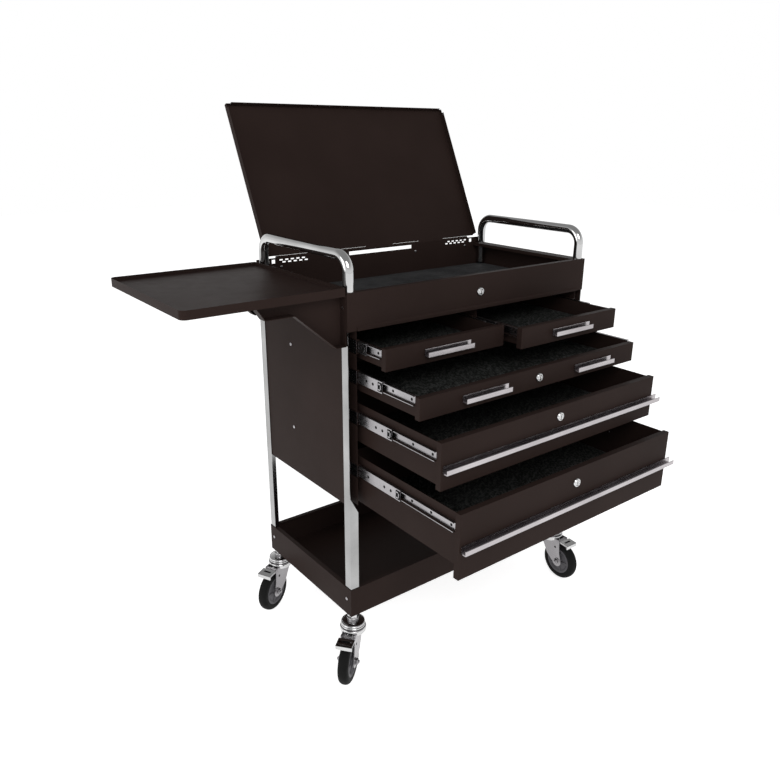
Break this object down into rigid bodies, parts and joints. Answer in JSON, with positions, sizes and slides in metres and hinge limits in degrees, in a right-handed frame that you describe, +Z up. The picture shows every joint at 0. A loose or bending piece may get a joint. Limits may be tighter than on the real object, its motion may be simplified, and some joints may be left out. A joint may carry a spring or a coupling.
{
  "type": "rolling tool chest",
  "caption": "Rolling tool chest with a lidded top compartment, drawers on extending slides, chrome corner posts, tube handles, a lower shelf, a side tray and swivel casters.",
  "frame": {"origin": "centre of the bounding box, at floor level, with the lid and drawers standing open", "axes": "+X to the chest's right as seen from its front, +Y towards its back, +Z up"},
  "size_m": [1.189, 0.9584, 1.4048],
  "materials": {
    "painted_steel": "satin powder coat",
    "chrome": "bright plate",
    "zinc_plate": "bright zinc plate",
    "pull_metal": "brushed",
    "tyre": "matte",
    "hub_plastic": "satin",
    "liner": "fine ribs",
    "mat": "fine ribs"
  },
  "bodies": {
    "housing": {"lower_shelf": "painted_steel", "post_front_left": "chrome", "post_front_right": "chrome", "post_rear_left": "chrome", "post_rear_right": "chrome", "side_panel_left": "painted_steel", "side_panel_right": "painted_steel", "back_panel": "painted_steel", "slide_rack_left": "painted_steel", "slide_rack_right": "painted_steel", "middle_divider": "painted_steel", "top_box": "painted_steel", "handle_left": "chrome", "handle_right": "chrome", "lid_hinge_pin": "zinc_plate", "side_tray": "painted_steel", "tray_bracket_front": "painted_steel", "tray_bracket_rear": "painted_steel", "caster_front_left_stem": "zinc_plate", "caster_front_right_stem": "zinc_plate", "caster_rear_left_stem": "zinc_plate", "caster_rear_right_stem": "zinc_plate"},
    "lid": {"lid": "painted_steel"},
    "top_box_lock": {"top_box_lock": "chrome"},
    "drawer_1": {"drawer_1_box": "painted_steel", "drawer_1_pull": "pull_metal"},
    "drawer_1_slide_left": {"drawer_1_slide_left": "zinc_plate"},
    "drawer_1_slide_right": {"drawer_1_slide_right": "zinc_plate"},
    "drawer_2": {"drawer_2_box": "painted_steel", "drawer_2_pull": "pull_metal"},
    "drawer_2_slide_left": {"drawer_2_slide_left": "zinc_plate"},
    "drawer_2_slide_right": {"drawer_2_slide_right": "zinc_plate"},
    "drawer_3": {"drawer_3_box": "painted_steel", "drawer_3_pull_left": "pull_metal", "drawer_3_pull_right": "pull_metal"},
    "drawer_3_slide_left": {"drawer_3_slide_left": "zinc_plate"},
    "drawer_3_slide_right": {"drawer_3_slide_right": "zinc_plate"},
    "drawer_3_lock": {"drawer_3_lock": "chrome"},
    "drawer_4": {"drawer_4_box": "painted_steel", "drawer_4_pull": "pull_metal"},
    "drawer_4_slide_left": {"drawer_4_slide_left": "zinc_plate"},
    "drawer_4_slide_right": {"drawer_4_slide_right": "zinc_plate"},
    "drawer_4_lock": {"drawer_4_lock": "chrome"},
    "drawer_5": {"drawer_5_box": "painted_steel", "drawer_5_pull": "pull_metal"},
    "drawer_5_slide_left": {"drawer_5_slide_left": "zinc_plate"},
    "drawer_5_slide_right": {"drawer_5_slide_right": "zinc_plate"},
    "drawer_5_lock": {"drawer_5_lock": "chrome"},
    "caster_front_left_fork": {"caster_front_left_fork": "zinc_plate"},
    "caster_front_left_wheel": {"caster_front_left_wheel": "tyre"},
    "caster_front_left_brake": {"caster_front_left_brake": "zinc_plate"},
    "caster_front_right_fork": {"caster_front_right_fork": "zinc_plate"},
    "caster_front_right_wheel": {"caster_front_right_wheel": "tyre"},
    "caster_front_right_brake": {"caster_front_right_brake": "zinc_plate"},
    "caster_rear_left_fork": {"caster_rear_left_fork": "zinc_plate"},
    "caster_rear_left_wheel": {"caster_rear_left_wheel": "tyre"},
    "caster_rear_left_brake": {"caster_rear_left_brake": "zinc_plate"},
    "caster_rear_right_fork": {"caster_rear_right_fork": "zinc_plate"},
    "caster_rear_right_wheel": {"caster_rear_right_wheel": "tyre"},
    "caster_rear_right_brake": {"caster_rear_right_brake": "zinc_plate"}
  },
  "joints": [
    {"name": "lid_hinge", "type": "hinge", "parent": "housing", "child": "lid", "pos_m": [0.1775, 0.29656, 1.022], "axis": [1, 0, 0], "range_deg": [0, 115.7]},
    {"name": "top_box_lock_turn", "type": "hinge", "parent": "housing", "child": "top_box_lock", "pos_m": [0.1775, -0.11994, 0.961], "axis": [0, 1, 0], "range_deg": [0, 90]},
    {"name": "drawer_1_travel", "type": "slide", "parent": "housing", "child": "drawer_1", "axis": [0, -1, 0], "range_m": [-0.092, 0.278]},
    {"name": "drawer_1_slide_left_travel", "type": "slide", "parent": "housing", "child": "drawer_1_slide_left", "axis": [0, -1, 0], "range_m": [-0.046, 0.139]},
    {"name": "drawer_1_slide_right_travel", "type": "slide", "parent": "housing", "child": "drawer_1_slide_right", "axis": [0, -1, 0], "range_m": [-0.046, 0.139]},
    {"name": "drawer_2_travel", "type": "slide", "parent": "housing", "child": "drawer_2", "axis": [0, -1, 0], "range_m": [-0.143, 0.227]},
    {"name": "drawer_2_slide_left_travel", "type": "slide", "parent": "housing", "child": "drawer_2_slide_left", "axis": [0, -1, 0], "range_m": [-0.0715, 0.1135]},
    {"name": "drawer_2_slide_right_travel", "type": "slide", "parent": "housing", "child": "drawer_2_slide_right", "axis": [0, -1, 0], "range_m": [-0.0715, 0.1135]},
    {"name": "drawer_3_travel", "type": "slide", "parent": "housing", "child": "drawer_3", "axis": [0, -1, 0], "range_m": [-0.209, 0.161]},
    {"name": "drawer_3_slide_left_travel", "type": "slide", "parent": "housing", "child": "drawer_3_slide_left", "axis": [0, -1, 0], "range_m": [-0.1045, 0.0805]},
    {"name": "drawer_3_slide_right_travel", "type": "slide", "parent": "housing", "child": "drawer_3_slide_right", "axis": [0, -1, 0], "range_m": [-0.1045, 0.0805]},
    {"name": "drawer_3_lock_turn", "type": "hinge", "parent": "drawer_3", "child": "drawer_3_lock", "pos_m": [0.1775, -0.32894, 0.792], "axis": [0, 1, 0], "range_deg": [0, 90]},
    {"name": "drawer_4_travel", "type": "slide", "parent": "housing", "child": "drawer_4", "axis": [0, -1, 0], "range_m": [-0.28, 0.09]},
    {"name": "drawer_4_slide_left_travel", "type": "slide", "parent": "housing", "child": "drawer_4_slide_left", "axis": [0, -1, 0], "range_m": [-0.14, 0.045]},
    {"name": "drawer_4_slide_right_travel", "type": "slide", "parent": "housing", "child": "drawer_4_slide_right", "axis": [0, -1, 0], "range_m": [-0.14, 0.045]},
    {"name": "drawer_4_lock_turn", "type": "hinge", "parent": "drawer_4", "child": "drawer_4_lock", "pos_m": [0.1775, -0.39994, 0.716], "axis": [0, 1, 0], "range_deg": [0, 90]},
    {"name": "drawer_5_travel", "type": "slide", "parent": "housing", "child": "drawer_5", "axis": [0, -1, 0], "range_m": [-0.344, 0.026]},
    {"name": "drawer_5_slide_left_travel", "type": "slide", "parent": "housing", "child": "drawer_5_slide_left", "axis": [0, -1, 0], "range_m": [-0.172, 0.013]},
    {"name": "drawer_5_slide_right_travel", "type": "slide", "parent": "housing", "child": "drawer_5_slide_right", "axis": [0, -1, 0], "range_m": [-0.172, 0.013]},
    {"name": "drawer_5_lock_turn", "type": "hinge", "parent": "drawer_5", "child": "drawer_5_lock", "pos_m": [0.1775, -0.46394, 0.572], "axis": [0, 1, 0], "range_deg": [0, 90]},
    {"name": "caster_front_left_swivel", "type": "hinge", "parent": "housing", "child": "caster_front_left_fork", "pos_m": [-0.2065, -0.10394, 0.138], "axis": [0, 0, 1], "continuous": true},
    {"name": "caster_front_left_roll", "type": "hinge", "parent": "caster_front_left_fork", "child": "caster_front_left_wheel", "pos_m": [-0.24094, -0.13133, 0.06], "axis": [0.6225, -0.7826, 0], "continuous": true},
    {"name": "caster_front_left_brake_press", "type": "hinge", "parent": "caster_front_left_fork", "child": "caster_front_left_brake", "pos_m": [-0.23937, -0.13008, 0.1285], "axis": [0.6225, -0.7826, 0], "range_deg": [0, 7]},
    {"name": "caster_front_right_swivel", "type": "hinge", "parent": "housing", "child": "caster_front_right_fork", "pos_m": [0.5615, -0.10394, 0.138], "axis": [0, 0, 1], "continuous": true},
    {"name": "caster_front_right_roll", "type": "hinge", "parent": "caster_front_right_fork", "child": "caster_front_right_wheel", "pos_m": [0.56073, -0.14793, 0.06], "axis": [0.9998, -0.0175, 0], "continuous": true},
    {"name": "caster_front_right_brake_press", "type": "hinge", "parent": "caster_front_right_fork", "child": "caster_front_right_brake", "pos_m": [0.56077, -0.14593, 0.1285], "axis": [0.9998, -0.0175, 0], "range_deg": [0, 7]},
    {"name": "caster_rear_left_swivel", "type": "hinge", "parent": "housing", "child": "caster_rear_left_fork", "pos_m": [-0.2065, 0.27606, 0.138], "axis": [0, 0, 1], "continuous": true},
    {"name": "caster_rear_left_roll", "type": "hinge", "parent": "caster_rear_left_fork", "child": "caster_rear_left_wheel", "pos_m": [-0.24588, 0.25643, 0.06], "axis": [0.4462, -0.8949, 0], "continuous": true},
    {"name": "caster_rear_left_brake_press", "type": "hinge", "parent": "caster_rear_left_fork", "child": "caster_rear_left_brake", "pos_m": [-0.24409, 0.25732, 0.1285], "axis": [0.4462, -0.8949, 0], "range_deg": [0, 7]},
    {"name": "caster_rear_right_swivel", "type": "hinge", "parent": "housing", "child": "caster_rear_right_fork", "pos_m": [0.5615, 0.27606, 0.138], "axis": [0, 0, 1], "continuous": true},
    {"name": "caster_rear_right_roll", "type": "hinge", "parent": "caster_rear_right_fork", "child": "caster_rear_right_wheel", "pos_m": [0.5395, 0.23796, 0.06], "axis": [0.866, -0.5, 0], "continuous": true},
    {"name": "caster_rear_right_brake_press", "type": "hinge", "parent": "caster_rear_right_fork", "child": "caster_rear_right_brake", "pos_m": [0.5405, 0.23969, 0.1285], "axis": [0.866, -0.5, 0], "range_deg": [0, 7]}
  ],
  "couplings": [
    {"joint": "drawer_1_slide_left_travel", "follows": "drawer_1_travel", "ratio": 0.5},
    {"joint": "drawer_1_slide_right_travel", "follows": "drawer_1_travel", "ratio": 0.5},
    {"joint": "drawer_2_slide_left_travel", "follows": "drawer_2_travel", "ratio": 0.5},
    {"joint": "drawer_2_slide_right_travel", "follows": "drawer_2_travel", "ratio": 0.5},
    {"joint": "drawer_3_slide_left_travel", "follows": "drawer_3_travel", "ratio": 0.5},
    {"joint": "drawer_3_slide_right_travel", "follows": "drawer_3_travel", "ratio": 0.5},
    {"joint": "drawer_4_slide_left_travel", "follows": "drawer_4_travel", "ratio": 0.5},
    {"joint": "drawer_4_slide_right_travel", "follows": "drawer_4_travel", "ratio": 0.5},
    {"joint": "drawer_5_slide_left_travel", "follows": "drawer_5_travel", "ratio": 0.5},
    {"joint": "drawer_5_slide_right_travel", "follows": "drawer_5_travel", "ratio": 0.5}
  ]
}
